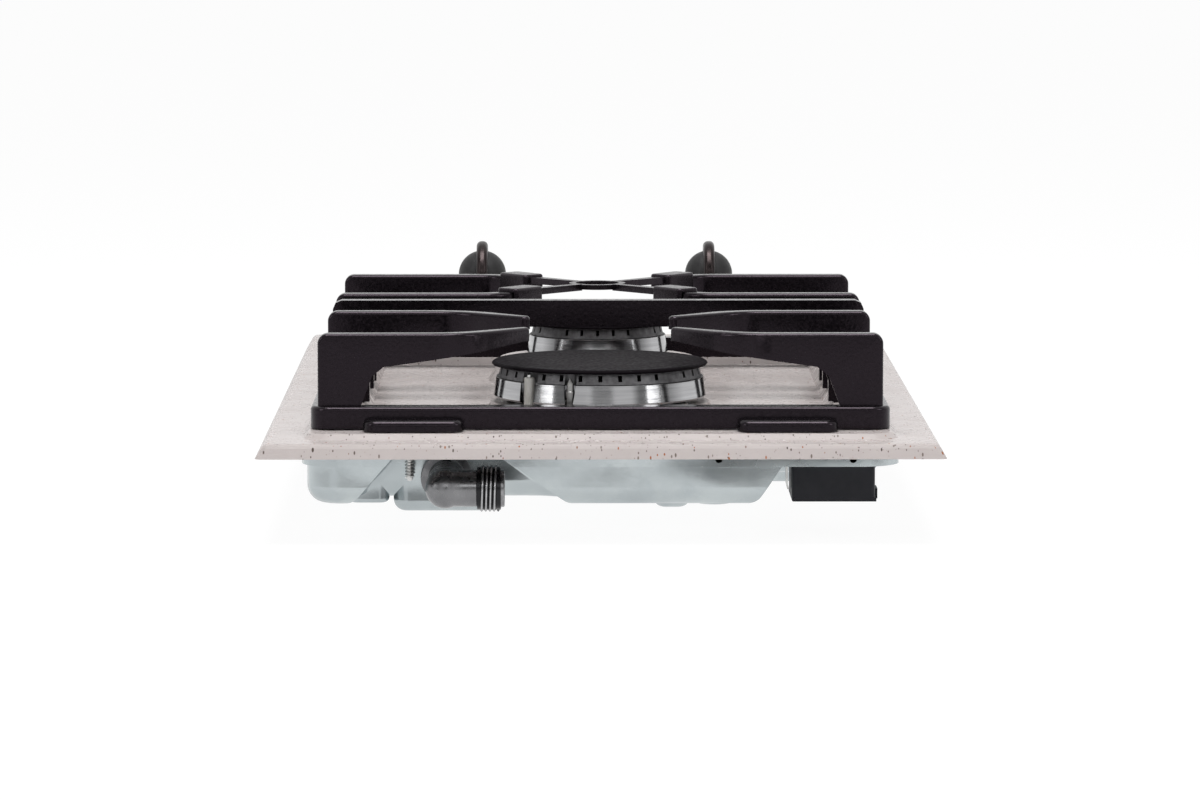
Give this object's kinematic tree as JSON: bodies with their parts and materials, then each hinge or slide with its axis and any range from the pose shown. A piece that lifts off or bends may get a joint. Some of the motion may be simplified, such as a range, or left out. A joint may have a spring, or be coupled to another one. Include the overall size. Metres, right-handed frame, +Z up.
{
  "type": "built-in gas hob",
  "caption": "Narrow built-in gas hob: speckled enamel plate with a lift-off cast pan support, burners in line, push-and-turn knobs and a rear gas inlet under it.",
  "frame": {"origin": "middle of the plate outline at worktop level, where the rim seal meets the worktop", "axes": "+Z up, knobs at -Y (front), gas inlet at +Y (rear), +X to the user's right"},
  "size_m": [0.3, 0.51, 0.0969],
  "materials": {
    "enamel": "glossy speckled enamel",
    "foam": "matt",
    "support_casting": "matt black enamel",
    "reducer_enamel": "matt black enamel",
    "cap_enamel": "matt black enamel",
    "spreader_alloy": "turned skirt, cast crown",
    "cup_alloy": "as cast",
    "jet_brass": "machined",
    "zinc_steel": "zinc plated",
    "galvanised": "satin galvanised",
    "inlet_steel": "cast, plated",
    "porcelain": "glazed",
    "probe_metal": "heat dulled",
    "tube_alloy": "drawn",
    "tap_brass": "forged",
    "knob_black": "satin",
    "bronze": "dark bronze",
    "lead_rubber": "silicone",
    "lead_copper": "drawn copper",
    "black_plastic": "moulded",
    "white_plastic": "moulded",
    "foot_rubber": "matt"
  },
  "bodies": {
    "hob": {"top_plate": "enamel", "rim_seal": "foam", "cup_screws": "zinc_steel", "bottom_casing": "galvanised", "gas_inlet_elbow": "inlet_steel", "gas_inlet_nipple": "inlet_steel", "inlet_nut": "jet_brass", "inlet_bracket": "galvanised", "bracket_screws": "zinc_steel", "gas_manifold": "zinc_steel", "spark_generator": "black_plastic", "tap_bracket": "galvanised", "terminal_box": "black_plastic", "terminal_block": "white_plastic", "earth_strip": "zinc_steel", "rear_burner_cup": "cup_alloy", "rear_injector": "jet_brass", "rear_electrode": "porcelain", "rear_electrode_tip": "zinc_steel", "rear_thermocouple": "probe_metal", "rear_supply_tube": "tube_alloy", "rear_spark_lead": "lead_rubber", "rear_thermocouple_lead": "lead_copper", "front_burner_cup": "cup_alloy", "front_injector": "jet_brass", "front_electrode": "porcelain", "front_electrode_tip": "zinc_steel", "front_thermocouple": "probe_metal", "front_supply_tube": "tube_alloy", "front_spark_lead": "lead_rubber", "front_thermocouple_lead": "lead_copper", "left_tap_body": "tap_brass", "left_ignition_switch": "black_plastic", "left_spindle_grommet": "foot_rubber", "left_return_spring": "zinc_steel", "right_tap_body": "tap_brass", "right_ignition_switch": "black_plastic", "right_spindle_grommet": "foot_rubber", "right_return_spring": "zinc_steel"},
    "left_plug": {"left_tap_plug": "tap_brass"},
    "right_plug": {"right_tap_plug": "tap_brass"},
    "left_control": {"left_spindle": "zinc_steel", "left_knob": "knob_black", "left_knob_handle": "bronze"},
    "right_control": {"right_spindle": "zinc_steel", "right_knob": "knob_black", "right_knob_handle": "bronze"},
    "support": {"pan_support": "support_casting", "support_feet": "foot_rubber"},
    "reducer": {"pot_reducer": "reducer_enamel"},
    "rear_spreader": {"rear_flame_spreader": "spreader_alloy"},
    "rear_cap": {"rear_burner_cap": "cap_enamel"},
    "front_spreader": {"front_flame_spreader": "spreader_alloy"},
    "front_cap": {"front_burner_cap": "cap_enamel"},
    "lid": {"terminal_lid": "black_plastic"}
  },
  "joints": [
    {"name": "left_tap_turn", "type": "hinge", "parent": "hob", "child": "left_plug", "pos_m": [-0.058, -0.2, 0], "axis": [0, 0, 1], "range_deg": [0, 210]},
    {"name": "left_knob_push", "type": "slide", "parent": "left_plug", "child": "left_control", "axis": [0, 0, -1], "range_m": [0, 0.004], "stiffness_N_per_m": 1200, "springref_m": -0.002, "deforming": ["left_return_spring"]},
    {"name": "right_tap_turn", "type": "hinge", "parent": "hob", "child": "right_plug", "pos_m": [0.058, -0.2, 0], "axis": [0, 0, 1], "range_deg": [0, 210]},
    {"name": "right_knob_push", "type": "slide", "parent": "right_plug", "child": "right_control", "axis": [0, 0, -1], "range_m": [0, 0.004], "stiffness_N_per_m": 1200, "springref_m": -0.002, "deforming": ["right_return_spring"]},
    {"name": "support_lift", "type": "slide", "parent": "hob", "child": "support", "axis": [0, 0, 1], "range_m": [0, 0.06]},
    {"name": "reducer_lift", "type": "slide", "parent": "support", "child": "reducer", "axis": [0, 0, 1], "range_m": [0, 0.04]},
    {"name": "rear_spreader_lift", "type": "slide", "parent": "hob", "child": "rear_spreader", "axis": [0, 0, 1], "range_m": [0, 0.004]},
    {"name": "rear_cap_lift", "type": "slide", "parent": "rear_spreader", "child": "rear_cap", "axis": [0, 0, 1], "range_m": [0, 0.005]},
    {"name": "front_spreader_lift", "type": "slide", "parent": "hob", "child": "front_spreader", "axis": [0, 0, 1], "range_m": [0, 0.004]},
    {"name": "front_cap_lift", "type": "slide", "parent": "front_spreader", "child": "front_cap", "axis": [0, 0, 1], "range_m": [0, 0.005]},
    {"name": "terminal_lid_open", "type": "hinge", "parent": "hob", "child": "lid", "pos_m": [-0.08505, 0.195, -0.02295], "axis": [0, -1, 0], "range_deg": [0, 95]}
  ]
}
